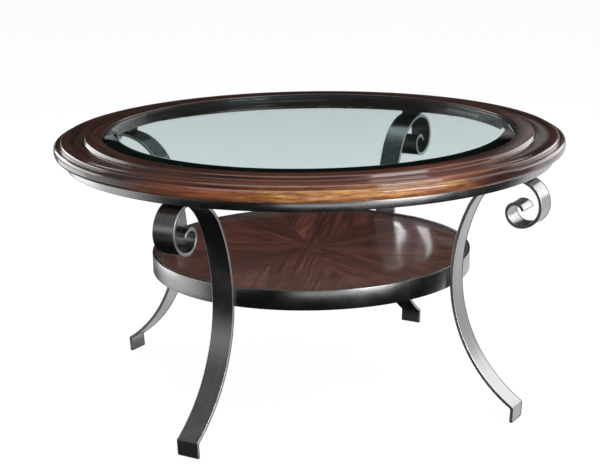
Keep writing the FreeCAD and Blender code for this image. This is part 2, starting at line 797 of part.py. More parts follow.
def check(doc, pieces):
    """Stops before anything is written if a feature failed or a solid isn't sound."""
    for item in doc.Objects:
        if {"Invalid", "Error"} & set(item.State):
            raise RuntimeError(f"{item.Label} failed: {item.State}")
    for piece in pieces:
        if not piece.Shape.isValid() or not piece.Shape.Solids:
            raise RuntimeError(f"{piece.Label} isn't a sound solid")


def main():
    doc = FreeCAD.newDocument("ScrollLegTable")
    s = driving_sizes(doc)
    w = worked_sizes(doc, s)
    pieces = make_pieces(doc, s, w)
    doc.recompute()
    check(doc, pieces)
    os.makedirs("parts", exist_ok=True)
    for piece in pieces:
        piece.Shape.exportStep(f"parts/{piece.Label}.step")
        print(piece.Label, len(piece.Shape.Solids), round(piece.Shape.Volume), piece.Shape.BoundBox)


main()
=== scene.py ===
import math

import bmesh
import bpy
from mathutils import Matrix, Quaternion, Vector


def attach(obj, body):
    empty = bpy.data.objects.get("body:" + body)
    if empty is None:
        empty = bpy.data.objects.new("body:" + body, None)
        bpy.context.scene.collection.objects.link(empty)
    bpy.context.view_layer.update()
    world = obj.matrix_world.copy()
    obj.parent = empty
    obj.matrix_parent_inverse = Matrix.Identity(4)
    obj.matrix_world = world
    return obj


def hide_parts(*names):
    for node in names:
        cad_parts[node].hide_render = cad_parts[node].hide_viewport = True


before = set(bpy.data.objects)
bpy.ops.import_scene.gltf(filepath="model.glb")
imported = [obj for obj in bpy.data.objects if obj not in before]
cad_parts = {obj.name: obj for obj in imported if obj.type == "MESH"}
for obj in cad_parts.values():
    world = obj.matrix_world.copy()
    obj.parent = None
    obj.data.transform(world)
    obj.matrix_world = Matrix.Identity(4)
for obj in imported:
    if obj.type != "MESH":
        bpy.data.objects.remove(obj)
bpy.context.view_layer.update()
scene = bpy.context.scene

MM = 0.001
FULL = math.tau

# Sizes of the pieces that get a finer mesh than the solids, in millimetres
BAR = 6.4
BAR_WIDTH = 46.0
EDGE_ROUND = 0.7
RING_ROUND = 0.5
APRON_R = 485.8
SHELF_HOOP_R = 323.5
SHELF_HOOP_BOTTOM = 257.0
SHELF_HOOP_TOP = 295.0
RIM_BOTTOM = 504.0
TOP = 538.0
GLASS_R = 411.0
GLASS_BOTTOM = 528.0
GLASS_EDGE = 5.0
GLASS_BEVEL = 25.0
GLASS_ARRIS = 0.8
SHELF_TOP = 292.0
SHELF_R = 316.1
CORE_TOP = 291.2
VENEER_ARRIS = 0.8
WEDGES = 8

# The legs' outline, in millimetres and degrees
LEG_BEARINGS = {"back_right": 45, "back_left": 135, "front_left": 225, "front_right": 315}
WAIST_Z = 271.3
CREST_X = 457.6
CREST_Z = 485.0
NECK_TURN = 26.2
SWEEP_REACH = 128.6
SWEEP_END_Z = 30.0
FOOT_BEND = 6.0
FOOT_FOLD = 1.5
FOOT_LEAN = 1.5
FOOT_BOTTOM = 2.0
SHOULDER_R = 51.0
BELLY_R = 44.0
HEEL_R = 29.5
CURL_R = 20.0
CURL_END = -345

# Fineness: the longest chord in millimetres and the widest turn in degrees of one facet
RING_CHORD = 1.6
FOOT_CHORD = 0.5
HOLLOW_CHORD = 1.5
ARC_TURN = 7
LEG_CHORD, LEG_TURN = 3.5, 4
ROUND_FACETS = 288
WEDGE_FACETS = 18
SHARP_CORNER = 32  # turns of an outline from this many degrees on are rounded
SHARP_EDGE, LEG_SHARP_EDGE = 38, 50  # and those of a mesh are shaded flat
ROUND_MIDDLE = 0.29  # of a small round's size, from either side to its middle
MERGE = 1e-7

# The rim's wood and its painted light and shade, by bearing about Z in degrees and distance from the axis
# in metres
PATCH_BEARING = 264  # where the painted warm light is brightest
RED_BEARING = 256  # the middle of a lighter, redder painted light round that
NOSE_OUT = (0.4975, 0.5035)
FLAT_OUT = (0.486, 0.494)
RED_OUT = (0.484, 0.499)
# where the painted shade in the bore begins
BORE_OUT = (0.4150, 0.4135)

# The camera that fits the photograph
FRAME_WIDTH, FRAME_HEIGHT = 600, 475
SENSOR_WIDTH = 36.0
CAMERA_AZIMUTH = -14.47
CAMERA_ELEVATION = 15.85
CAMERA_DISTANCE = 3.088
CAMERA_TARGET = Vector((0, 0, 0.257))
CAMERA_ROLL = 0.85
FOCAL_PX = 1502.71
CENTRE_PX = (311.42, 262.97)

# Lamps: name, bearing, distance, height, (width, height), power and the height they aim at.
# A bearing is 0 at the photographer, 90 to their right and 180 behind the table.
LAMPS = (
    ("left_box", -121, 2.6, 1.05, (2.4, 0.9), 23, 0.40),
    ("right_box", 120, 2.6, 1.15, (2.6, 1.0), 19, 0.40),
    ("front_box", 40, 2.1, 0.88, (1.0, 0.95), 25, 0.40),
    ("front_card", 20, 2.0, 0.19, (2.5, 0.26), 2.2, 0.25),
    ("left_card", -116, 1.6, 0.15, (0.9, 0.24), 1.0, 0.25),
    ("top_box", 75, 0.5, 2.8, (4.2, 4.2), 62, 0.40),
)
# Two narrow ones behind the table, mirrored as pale streaks in the shelf and seen nowhere else
STRIPS = (
    ("strip_near", 162.9, 0.785, 0.445, (0.022, 0.19), 0.036, 0.445),
    ("strip_far", 157.6, 0.815, 0.445, (0.036, 0.19), 0.036, 0.445),
)
FLOOR_SIZE = 14.0
FLOOR_DROP = 0.0004


# Directions


def polar_way(bearing):
    return Vector((math.cos(math.radians(bearing)), math.sin(math.radians(bearing)), 0))


# Level, from the middle of the table: towards the photographer, and to their right
AHEAD = Vector((math.sin(math.radians(CAMERA_AZIMUTH)), -math.cos(math.radians(CAMERA_AZIMUTH)), 0))
ASIDE = polar_way(CAMERA_AZIMUTH)


# Nodes


class Nodes:
    """Short ways to add and join shader nodes."""

    def __init__(self, tree):
        self.tree = tree
        tree.nodes.clear()

    def add(self, kind, **settings):
        node = self.tree.nodes.new(kind)
        for name, value in settings.items():
            setattr(node, name, value)
        return node

    def feed(self, socket, value):
        if isinstance(value, bpy.types.NodeSocket):
            self.tree.links.new(value, socket)
        elif socket.type == "RGBA" and len(value) == 3:
            socket.default_value = (*value, 1)
        else:
            socket.default_value = value

    def fill(self, node, *values, **named):
        """Feeds the first sockets in order, or sockets by name, and gives the first output."""
        for socket, value in zip(node.inputs, values):
            self.feed(socket, value)
        for name, value in named.items():
            self.feed(node.inputs[name.replace("_", " ")], value)
        return node.outputs[0]

    def math(self, operation, *values, clamp=False):
        return self.fill(self.add("ShaderNodeMath", operation=operation, use_clamp=clamp), *values)

    def times(self, first, *others):
        for other in others:
            first = self.math("MULTIPLY", first, other)
        return first

    def weigh(self, *parts):
        """Sum of values, each times its share."""
        total, *rest = [self.times(value, share) for value, share in parts]
        for part in rest:
            total = self.math("ADD", total, part)
        return total

    def span(self, value, low, high, to_low=0.0, to_high=1.0):
        """Smooth step: to_low where value is low, to_high where it is high."""
        node = self.add("ShaderNodeMapRange", interpolation_type="SMOOTHSTEP")
        return self.fill(node, value, low, high, to_low, to_high)

    def scale(self, vector, factors):
        return self.fill(self.add("ShaderNodeVectorMath", operation="MULTIPLY"), vector, factors)

    def dot(self, vector, other):
        node = self.add("ShaderNodeVectorMath", operation="DOT_PRODUCT")
        self.fill(node, vector, other)
        return node.outputs["Value"]

    def noise(self, vector, scale, detail, roughness=0.5, distortion=0.0):
        return self.fill(self.add("ShaderNodeTexNoise"), Vector=vector, Scale=scale, Detail=detail,
                         Roughness=roughness, Distortion=distortion)

    def streaks(self, uv, along, across, detail, roughness=0.5, distortion=0.0):
        """Noise drawn out along U."""
        return self.noise(self.scale(uv, (along, across, 1.0)), 1.0, detail, roughness, distortion)

    def ramp(self, value, *stops):
        node = self.add("ShaderNodeValToRGB")
        elements = node.color_ramp.elements
        while len(elements) < len(stops):
            elements.new(0.5)
        for element, (place, colour) in zip(elements, stops):
            element.position = place
            element.color = (*colour, 1)
        return self.fill(node, value)

    def blend(self, factor, first, second, kind="MIX"):
        node = self.add("ShaderNodeMix", data_type="RGBA", blend_type=kind)
        for index, value in ((0, factor), (6, first), (7, second)):
            self.feed(node.inputs[index], value)
        return node.outputs[2]

    def stain(self, colour, mask, strength, over):
        return self.blend(self.times(mask, strength), colour, over)

    def bump(self, height, strength, distance):
        return self.fill(self.add("ShaderNodeBump"), Height=height, Strength=strength, Distance=distance)

    def coordinates(self, name):
        return self.add("ShaderNodeTexCoord").outputs[name]

    def shader(self, kind, **sockets):
        return self.fill(self.add("ShaderNode" + kind), **sockets)

    def mix_shader(self, factor, first, second):
        return self.fill(self.add("ShaderNodeMixShader"), factor, first, second)

    def output(self, kind="Material", **sockets):
        node = self.add("ShaderNodeOutput" + kind)
        for name, value in sockets.items():
            self.feed(node.inputs[name], value)

    def principled(self, **sockets):
        self.output(Surface=self.shader("BsdfPrincipled", **sockets))


def new_material(name):
    material = bpy.data.materials.new(name)
    material.use_nodes = True
    return material, Nodes(material.node_tree)


def linear(red, green, blue):
    """A colour given as it looks on screen, 0 to 255."""
    return tuple(c / 255 / 12.92 if c <= 10.31 else ((c / 255 + 0.055) / 1.055) ** 2.4
                 for c in (red, green, blue))


# Materials


def paint_rim_light_and_shade(n, uv, place, grain, colour):
    """Painted light and shade on the rim: lighter, redder wood and then a warm golden glow on one side,
    standing in for light from the front, and painted shade darkening the bore.
    """
    flat = n.scale(place, (1, 1, 0))
    out = n.math("POWER", n.dot(flat, flat), 0.5)

    def towards(bearing):
        """Cosine of the angle from a bearing."""
        return n.math("DIVIDE", n.dot(flat, tuple(polar_way(bearing))), out)

    # painted warm light on the nose and the flat round PATCH_BEARING, broken up by streaks
    rings = n.math("ADD", n.span(out, *NOSE_OUT, 0.0, 0.65), n.span(out, *FLAT_OUT, 0.0, 0.35))
    zone = n.times(rings, n.span(towards(PATCH_BEARING), 0.875, 0.985))
    patchy = n.span(n.streaks(uv, 10.0, 110.0, 6.0, 0.65, 0.4), 0.28, 0.60)
    mottle = n.streaks(uv, 22.0, 160.0, 5.0, 0.65, 0.5)
    warm = n.ramp(mottle, (0.36, linear(124, 66, 33)), (0.50, linear(178, 118, 54)),
                  (0.64, linear(208, 160, 84)))
    red = n.ramp(grain, (0.38, linear(62, 28, 20)), (0.51, linear(130, 68, 45)),
                 (0.64, linear(186, 110, 70)))
    # painted light: lighter, redder wood round RED_BEARING, most of it on the nose
    redder = n.times(n.span(towards(RED_BEARING), 0.72, 0.885, 0.0, 0.85),
                     n.span(out, *RED_OUT, 0.45, 1.0))
    colour = n.blend(redder, colour, red)
    colour = n.stain(colour, n.times(zone, patchy), 0.9, warm)
    # painted shade: the bore darkens towards its inside
    return n.blend(n.span(out, *BORE_OUT, 0.0, 0.6), colour, linear(26, 14, 11))


def wood_material(name, deep, middle, light, coat, painted_light=False, tone=False):
    """Varnished wood whose grain runs along U, with pores, flecks and broad colour changes."""
    material, n = new_material(name)
    uv = n.coordinates("UV")
    place = n.coordinates("Object")
    broad = n.noise(place, 3.2, 3.0)
    figure = n.streaks(uv, 2.2, 34.0, 6.0, 0.55, 0.9)
    streak = n.streaks(uv, 7.0, 260.0, 4.0, 0.6, 0.25)
    stripe = n.streaks(uv, 9.0, 150.0, 5.0, 0.6, 0.6)
    grain = n.weigh((figure, 0.45), (streak, 0.25), (stripe, 0.30))
    colour = n.ramp(grain, (0.37, deep), (0.50, middle), (0.64, light))
    shaded = n.blend(1.0, colour, (0.62, 0.52, 0.50), "MULTIPLY")
    colour = n.blend(n.span(broad, 0.35, 0.7), colour, shaded)
    if painted_light:
        colour = paint_rim_light_and_shade(n, uv, place, grain, colour)
    pore = n.span(n.streaks(uv, 55.0, 1900.0, 2.0), 0.60, 0.70)
    colour = n.stain(colour, pore, 0.55, linear(20, 9, 6))
    scars = n.streaks(uv, 26.0, 420.0, 3.0, 0.6, 0.6)
    colour = n.stain(colour, n.span(scars, 0.57, 0.67), 0.65, linear(22, 10, 7))
    flecks = n.noise(place, 95.0, 1.0, 0.4)
    colour = n.stain(colour, n.span(flecks, 0.74, 0.79), 0.7, linear(14, 7, 5))
    if tone:
        shade = n.add("ShaderNodeAttribute", attribute_name="tone").outputs["Fac"]
        shade = n.ramp(shade, (0.0, (0.62, 0.58, 0.56)), (1.0, (1.32, 1.26, 1.22)))
        colour = n.blend(1.0, colour, shade, "MULTIPLY")
    coat_weight, coat_roughness, coat_ior = coat
    n.principled(
        Base_Color=colour, Roughness=n.span(streak, 0.3, 0.7, 0.32, 0.46), Specular_IOR_Level=0.35,
        Normal=n.bump(n.weigh((pore, -0.6), (streak, 0.25)), 0.10, 0.0004),
        Coat_Weight=coat_weight, Coat_Roughness=coat_roughness, Coat_IOR=coat_ior,
    )
    return material


def steel_material(name, dark, light, rough):
    """Brushed steel with a clear lacquer: fine lines along U, blotches and small scratches."""
    material, n = new_material(name)
    uv = n.coordinates("UV")
    brush = n.streaks(uv, 9.0, 1500.0, 3.0, 0.6)
    blotch = n.noise(n.coordinates("Object"), 17.0, 5.0, 0.6, 0.4)
    wide = n.streaks(uv, 3.0, 70.0, 3.0, 0.5, 0.5)
    colour = n.ramp(n.weigh((brush, 0.50), (blotch, 0.18), (wide, 0.32)), (0.30, dark), (0.68, light))
    scratch = n.span(n.streaks(uv, 60.0, 2600.0, 1.0), 0.66, 0.72)
    n.principled(Base_Color=n.stain(colour, scratch, 0.25, (0.62, 0.61, 0.60)), Metallic=1.0,
                 Roughness=n.span(blotch, 0.3, 0.7, *rough), Normal=n.bump(brush, 0.06, 0.0002))
    return material


def plain_metal_material(name, dark, light, metallic, rough):
    """Small hidden hardware: faint mottling over one colour."""
    material, n = new_material(name)
    mottle = n.noise(n.coordinates("Object"), 220.0, 4.0, 0.6)
    n.principled(Base_Color=n.ramp(mottle, (0.3, dark), (0.7, light)), Metallic=metallic,
                 Roughness=n.span(mottle, 0.3, 0.7, rough - 0.06, rough + 0.08),
                 Normal=n.bump(mottle, 0.08, 0.0002))
    return material


def plastic_material(name, dark, light, rough):
    material, n = new_material(name)
    grit = n.noise(n.coordinates("Object"), 700.0, 2.0)
    n.principled(Base_Color=n.ramp(grit, (0.3, dark), (0.7, light)), Roughness=rough,
                 Normal=n.bump(grit, 0.1, 0.0001))
    return material


def panel_material(name):
    """Unvarnished panel under the veneer: pale fibres."""
    material, n = new_material(name)
    fibre = n.noise(n.scale(n.coordinates("Object"), (12.0, 160.0, 160.0)), 1.0, 5.0, 0.6, 0.4)
    n.principled(Base_Color=n.ramp(fibre, (0.3, linear(92, 62, 42)), (0.7, linear(140, 102, 72))),
                 Roughness=0.62, Normal=n.bump(fibre, 0.15, 0.0003))
    return material


def glass_material(name):
    """Clear plate with the green of iron in it, which lets light through to the shelf."""
    material, n = new_material(name)
    ior = 1.46
    smear = n.noise(n.coordinates("Object"), 9.0, 3.0)
    tint = n.ramp(smear, (0.3, (0.965, 0.99, 0.99)), (0.7, (0.985, 1.0, 1.0)))
    mirroring = n.shader("BsdfPrincipled", Base_Color=tint, Transmission_Weight=1.0, IOR=ior,
                         Roughness=0.0, Specular_IOR_Level=0.5)
    plain = n.shader("BsdfRefraction", Color=(0.96, 1.0, 1.0), Roughness=0.0, IOR=ior)
    plate = n.mix_shader(0.30, mirroring, plain)
    clear = n.shader("BsdfTransparent", Color=(0.86, 0.93, 0.92))
    path = n.add("ShaderNodeLightPath").outputs
    unseen = n.math("MAXIMUM", path["Is Shadow Ray"], path["Is Diffuse Ray"])
    inside = n.fill(
        n.add("ShaderNodeAddShader"),
        n.shader("VolumeAbsorption", Color=(0.36, 0.94, 0.93), Density=12.0),
        n.shader("VolumeScatter", Color=(0.60, 1.0, 0.90), Density=0.8),
    )
    n.output(Surface=n.mix_shader(unseen, plate, clear), Volume=inside)
    return material


wood = wood_material("rim_wood", linear(25, 14, 12), linear(66, 37, 29), linear(114, 68, 49),
                     coat=(0.9, 0.08, 1.6), painted_light=True)
veneer = wood_material("veneer_wood", linear(48, 23, 19), linear(98, 52, 43), linear(152, 88, 67),
                       coat=(0.8, 0.13, 1.5), tone=True)
steel = steel_material("pewter_steel", (0.27, 0.27, 0.275), (0.46, 0.455, 0.45), (0.22, 0.29))
edge_steel = steel_material("pewter_steel_edges", (0.54, 0.54, 0.54), (0.78, 0.77, 0.76), (0.36, 0.44))
glass = glass_material("clear_glass")
panel = panel_material("panel_wood")
# black steel for small hardware, and painted shade on the inside of the lower hoop
black_steel = plain_metal_material("black_steel", (0.03, 0.03, 0.03), (0.07, 0.07, 0.07), 0.4, 0.42)
zinc = plain_metal_material("zinc_steel", (0.42, 0.43, 0.46), (0.62, 0.63, 0.66), 1.0, 0.34)
nylon = plastic_material("glide_nylon", (0.02, 0.02, 0.02), (0.045, 0.045, 0.045), 0.55)
bumper = plastic_material("clear_bumper", (0.55, 0.57, 0.56), (0.66, 0.68, 0.67), 0.25)

# Which finish each piece keeps that is seen as its solid, by how the node's name starts
CAD_FINISH = {
    "shelf_core": panel, "glass_bumpers": bumper, "foot_glide": nylon, "rim_bracket_screws": zinc,
    "rim_bracket": black_steel, "apron_tab_screws": zinc, "apron_tab": black_steel,
    "shelf_tab_screws": zinc, "shelf_tab": black_steel, "crest_bolts": zinc, "crest_nuts": zinc,
    "leg_shelf_bolts": zinc,
}


# Outlines, in millimetres


def arc_angles(radius, start, end, chord, turn):
    """Angles along an arc that is given in degrees, cut by chord and by turn."""
    count = max(2, math.ceil(abs(math.radians(end - start)) * radius / chord),
                math.ceil(abs(end - start) / turn))
    return [math.radians(start + (end - start) * index / count) for index in range(count + 1)]


def arc_points(centre, radius, start, end, chord):
    return [Vector((centre[0] + radius * math.cos(angle), centre[1] + radius * math.sin(angle)))
            for angle in arc_angles(radius, start, end, chord, ARC_TURN)]


def arc_between(start, end, radius, left, chord):
    """Points of the minor arc from start to end that turns left or right."""
    start, end = Vector(start), Vector(end)
    half = (end - start) / 2
    rise = math.sqrt(max(radius * radius - half.length_squared, 0))
    across = Vector((-half.y, half.x)).normalized() * (rise if left else -rise)
    centre = (start + end) / 2 + across
    first = math.degrees(math.atan2(start.y - centre.y, start.x - centre.x))
    last = math.degrees(math.atan2(end.y - centre.y, end.x - centre.x))
    if left and last < first:
        last += 360
    if not left and last > first:
        last -= 360
    return arc_points(centre, radius, first, last, chord)


def ease(points, size):
    """Cuts every sharp corner of a closed outline with a small round of two facets."""
    eased = []
    for index, here in enumerate(points):
        back = points[index - 1] - here
        on = points[(index + 1) % len(points)] - here
        turn = math.pi - back.angle(on) if back.length and on.length else 0
        if turn < math.radians(SHARP_CORNER):
            eased.append(here)
            continue
        cut = min(size, 0.4 * back.length, 0.4 * on.length)
        first, last = here + back.normalized() * cut, here + on.normalized() * cut
        eased += [first, here * 0.5 + (first + last) * 0.25, last]
    return eased


def outline(steps, rounding):
    """A closed outline: corners (x, z), or (x, z, radius, left) for one reached by an arc."""
    points = []
    for index, here in enumerate(steps):
        if len(here) == 2:
            points.append(Vector(here))
        else:
            points += arc_between(steps[index - 1][:2], here[:2], *here[2:], RING_CHORD)[1:]
    return ease(points, rounding)


def ring_outline():
    """Profile of the moulded wood ring, as in the solid."""
    return outline([
        (404.0, RIM_BOTTOM), (499.0, RIM_BOTTOM), (508.0, 513.0, 9.0, True), (508.0, 518.5),
        (500.5, 526.0, 7.5, True), (496.5, 524.5), (494.8, 524.5), (494.8, 527.5),
        (490.3, 532.0, 4.5, True), (449.5, 530.5, 130.0, False), (446.5, 533.5, 3.0, False),
        (446.5, 534.5), (443.0, TOP, 3.5, True), (414.5, TOP), (412.5, 536.0, 2.0, True),
        (412.5, 527.0), (404.0, 527.0),
    ], RING_ROUND)


def hoop_outline(outer, bottom, top):
    inner = outer - BAR
    return outline([(inner, bottom), (outer, bottom), (outer, top), (inner, top)], EDGE_ROUND)


def glass_outline():
    """Half section of the plate, with its arrises and its long bevel."""
    edge_z = GLASS_BOTTOM + GLASS_EDGE
    under = [(x, GLASS_BOTTOM) for x in (0.0, 200.0, 380.0, GLASS_R - GLASS_ARRIS)]
    edge = [(GLASS_R, GLASS_BOTTOM + GLASS_ARRIS), (GLASS_R, edge_z - GLASS_ARRIS),
            (GLASS_R - GLASS_ARRIS, edge_z + GLASS_ARRIS * (TOP - edge_z) / GLASS_BEVEL)]
    over = [(x, TOP) for x in (GLASS_R - GLASS_BEVEL, 380.0, 200.0, 0.0)]
    return [Vector(point) for point in under + edge + over]


def foot_stations(sweep, low):
    """The upright foot and its small bend; the hollow face also has a fold, and runs up the sweep."""
    fall = WAIST_Z - SWEEP_END_Z
    sweep_x = SHELF_HOOP_R + sweep
    inner = SHELF_HOOP_R + SWEEP_REACH + FOOT_BEND * (SWEEP_REACH / sweep)
    outer = inner + BAR
    bend_z = SWEEP_END_Z - FOOT_BEND * fall / sweep
    # the fold touches the foot's outer face and the sweep's hollow one
    far = sweep - BAR + FOOT_FOLD
    across = sweep_x - outer + FOOT_FOLD
    down = math.sqrt(far * far - across * across)
    fold_end = math.degrees(math.atan2(down, across))
    hollow = [Vector((outer, bend_z))]
    hollow += arc_points((outer - FOOT_FOLD, WAIST_Z - down), FOOT_FOLD, 0, fold_end, FOOT_CHORD)
    hollow += arc_points((sweep_x, WAIST_Z), sweep - BAR, 180 + fold_end, 180 + low, HOLLOW_CHORD)[1:]
    inside = arc_points((inner - FOOT_BEND, bend_z), FOOT_BEND, 0,
                        90 - math.degrees(math.acos(fall / sweep)), FOOT_CHORD)
    for lean, z in ((FOOT_LEAN, FOOT_BOTTOM), (FOOT_LEAN * 0.5, (FOOT_BOTTOM + bend_z) / 2)):
        yield Vector((inner - lean, z)), Vector((outer - lean, z))
    # each point of the hollow face is paired with the inside one at the same share of the way
    total = sum((b - a).length for a, b in zip(hollow, hollow[1:]))
    gone = 0.0
    for index, point in enumerate(hollow):
        if index:
            gone += (point - hollow[index - 1]).length
        spot = gone / total * (len(inside) - 1)
        below = min(int(spot), len(inside) - 2)
        yield inside[below].lerp(inside[below + 1], spot - below), point


def leg_stations():
    """Pairs of points, on the face towards the middle and on the hollow face, from foot to tip."""
    # one arc sweeps down from upright at the waist
    fall = WAIST_Z - SWEEP_END_Z
    sweep = (fall * fall / SWEEP_REACH + SWEEP_REACH) / 2
    low = math.degrees(math.asin(fall / sweep))
    # two arcs rise from there to level at the crest
    rise, run = CREST_Z - WAIST_Z, CREST_X - SHELF_HOOP_R
    turn = math.radians(NECK_TURN)
    share = math.sin(turn) + math.cos(turn) - 1
    stem = (rise * math.cos(turn) - run * (1 - math.sin(turn))) / share
    crest = (run * math.sin(turn) - rise * (1 - math.cos(turn))) / share
    neck_end = 180 - math.degrees(turn)
    # and four roll in
    belly_x = CREST_X + SHOULDER_R - BELLY_R
    shoulder_z = CREST_Z - SHOULDER_R
    heel_z = shoulder_z - BELLY_R + HEEL_R
    curves = (
        ((SHELF_HOOP_R + sweep, WAIST_Z), sweep, 180 + low, 180),
        ((SHELF_HOOP_R + stem, WAIST_Z), stem, 180, neck_end),
        ((CREST_X, CREST_Z - crest), crest, neck_end, 90),
        ((CREST_X, shoulder_z), SHOULDER_R, 90, 0),
        ((belly_x, shoulder_z), BELLY_R, 0, -90),
        ((belly_x, heel_z), HEEL_R, -90, -180),
        ((belly_x - HEEL_R + CURL_R, heel_z), CURL_R, -180, CURL_END),
    )
    yield from foot_stations(sweep, low)
    for centre, radius, start, end in curves:
        for angle in arc_angles(radius, start, end, LEG_CHORD, LEG_TURN)[1:]:
            way = Vector((math.cos(angle), math.sin(angle)))
            yield Vector(centre) + way * radius, Vector(centre) + way * (radius - BAR)


# Meshes


def add_face(bm, corners, layer, spots):
    """A face with a place on the UV map for each corner."""
    face = bm.faces.new(corners)
    for loop, spot in zip(face.loops, spots):
        loop[layer].uv = spot
    return face


def finish_mesh(name, bm, sharp=SHARP_EDGE):
    mesh = bpy.data.meshes.new(name)
    bmesh.ops.recalc_face_normals(bm, faces=bm.faces)
    bm.to_mesh(mesh)
    bm.free()
    for polygon in mesh.polygons:
        polygon.use_smooth = True
    mesh.set_sharp_from_angle(angle=math.radians(sharp))
    obj = bpy.data.objects.new(name, mesh)
    scene.collection.objects.link(obj)
    return obj


def turned(name, points, closed=True):
    """A profile in millimetres turned about Z; U runs round it and V along the profile, in metres."""
    bm = bmesh.new()
    layer = bm.loops.layers.uv.new("UVMap")
    along = [0.0]
    for a, b in zip(points, points[1:] + points[:1]):
        along.append(along[-1] + (b - a).length * MM)
    rings = []
    for index in range(ROUND_FACETS):
        angle = FULL * index / ROUND_FACETS
        c, s = math.cos(angle) * MM, math.sin(angle) * MM
        rings.append([bm.verts.new((p.x * c, p.x * s, p.y * MM)) for p in points])
    reach = max(p.x for p in points) * MM
    for index, here in enumerate(rings):
        there = rings[(index + 1) % ROUND_FACETS]
        u, next_u = (FULL * step / ROUND_FACETS * reach for step in (index, index + 1))
        for k in range(len(points) if closed else len(points) - 1):
            after = (k + 1) % len(points)
            v, next_v = along[k:k + 2]
            add_face(bm, (here[k], there[k], there[after], here[after]), layer,
                     ((u, v), (next_u, v), (next_u, next_v), (u, next_v)))
    bmesh.ops.remove_doubles(bm, verts=bm.verts, dist=MERGE)
    return finish_mesh(name, bm)


def leg_mesh(name, bearing):
    """Flat bar with softly rounded edges, bent along the leg's outline."""
    # points round the section: whether on the hollow face, how far through the bar from it, how far aside
    mid = EDGE_ROUND * ROUND_MIDDLE
    soft = ((EDGE_ROUND, 0.0), (mid, mid), (0.0, EDGE_ROUND))
    section = []
    for hollow_side, side, order in ((0, -1, 1), (1, -1, -1), (1, 1, 1), (0, 1, -1)):
        into = -1 if hollow_side else 1
        for through, aside in soft[::order]:
            section.append((hollow_side, into * through, side * (BAR_WIDTH / 2 - aside)))
    bm = bmesh.new()
    layer = bm.loops.layers.uv.new("UVMap")
    rings, along = [], []
    last = None
    for inner, hollow in leg_stations():
        way = (hollow - inner).normalized()
        middle = (inner + hollow) / 2
        along.append(along[-1] + (middle - last).length * MM if along else 0.0)
        last = middle
        ring = []
        for hollow_side, through, y in section:
            base = (hollow if hollow_side else inner) + way * through
            ring.append(bm.verts.new((base.x * MM, y * MM, base.y * MM)))
        rings.append(ring)
    count = len(section)
    sides = [(rings[0][(k + 1) % count].co - rings[0][k].co).length for k in range(count)]
    around = [0.0]
    for side in sides:
        around.append(around[-1] + side)
    for index, (ring, following) in enumerate(zip(rings, rings[1:])):
        u, next_u = along[index:index + 2]
        for k in range(count):
            after = (k + 1) % count
            v, next_v = around[k:k + 2]
            face = add_face(bm, (ring[k], ring[after], following[after], following[k]), layer,
                            ((u, v), (u, next_v), (next_u, next_v), (next_u, v)))
            face.material_index = 0 if sides[k] > BAR_WIDTH * MM / 2 else 1
    end_stretch = 3
    for ring in (rings[0], rings[-1]):
        face = add_face(bm, ring, layer, [(vert.co.x * end_stretch, vert.co.y) for vert in ring])
        face.material_index = 1
    obj = finish_mesh(name, bm, LEG_SHARP_EDGE)
    obj.data.transform(Matrix.Rotation(math.radians(bearing), 4, "Z"))
    return obj


def veneer_mesh(name):
    """Eight wedges of veneer round the middle, each with its grain along its own middle line."""
    bm = bmesh.new()
    layer = bm.loops.layers.uv.new("UVMap")
    tone = bm.faces.layers.float.new("tone")
    shades = (0.42, 0.66, 0.38, 0.60, 0.30, 0.52, 0.36, 0.72)
    shift_u, shift_v = 1.7, 0.9  # so that no two wedges share their figure
    wide = FULL / WEDGES
    rows = [(radius, SHELF_TOP) for radius in (0.0, 20.0, 80.0, 150.0, 230.0, SHELF_R - VENEER_ARRIS)]
    rows += [(SHELF_R, SHELF_TOP - VENEER_ARRIS / 2), (SHELF_R, CORE_TOP)]
    for wedge in range(WEDGES):
        start = wide * wedge
        middle = start + wide / 2
        angles = [start + wide * index / WEDGE_FACETS for index in range(WEDGE_FACETS + 1)]
        grid = [[Vector((radius * math.cos(angle), radius * math.sin(angle), z)) for angle in angles]
                for radius, z in rows]
        for near, far in zip(grid, grid[1:]):
            for index in range(WEDGE_FACETS):
                spots = [near[index], far[index], far[index + 1], near[index + 1]]
                if near[index] == near[index + 1]:
                    spots = spots[:3]
                grain = []
                for p in spots:
                    u = (p.x * math.cos(middle) + p.y * math.sin(middle)) * MM
                    v = (-p.x * math.sin(middle) + p.y * math.cos(middle)) * MM
                    grain.append((u + wedge * shift_u, v + wedge * shift_v))
                face = add_face(bm, [bm.verts.new(p * MM) for p in spots], layer, grain)
                face[tone] = shades[wedge]
    bmesh.ops.remove_doubles(bm, verts=bm.verts, dist=MERGE)
    return finish_mesh(name, bm)


# Pieces


def dress(obj, body, slot_name, materials, *nodes):
    for material in materials:
        obj.data.materials.append(material)
    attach(obj, body)
    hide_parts(*nodes)


def second_material_inside(obj):
    """Gives the second material to the faces of a hoop that look at its axis."""
    for polygon in obj.data.polygons:
        outward = Vector((*polygon.center.xy, 0)).normalized()
        polygon.material_index = 1 if polygon.normal.dot(outward) < -0.9 else 0


rim = turned("moulded_rim", ring_outline())
dress(rim, "frame", "rim_wood", [wood], "top_ring")
glass_plate = turned("bevelled_glass", glass_outline(), closed=False)
dress(glass_plate, "glass_inset", "clear_glass", [glass], "glass_top")
upper_hoop = turned("upper_hoop", hoop_outline(APRON_R, CREST_Z, RIM_BOTTOM))
dress(upper_hoop, "frame", "pewter_steel", [steel], "apron_band")
lower_hoop = turned("lower_hoop", hoop_outline(SHELF_HOOP_R, SHELF_HOOP_BOTTOM, SHELF_HOOP_TOP))
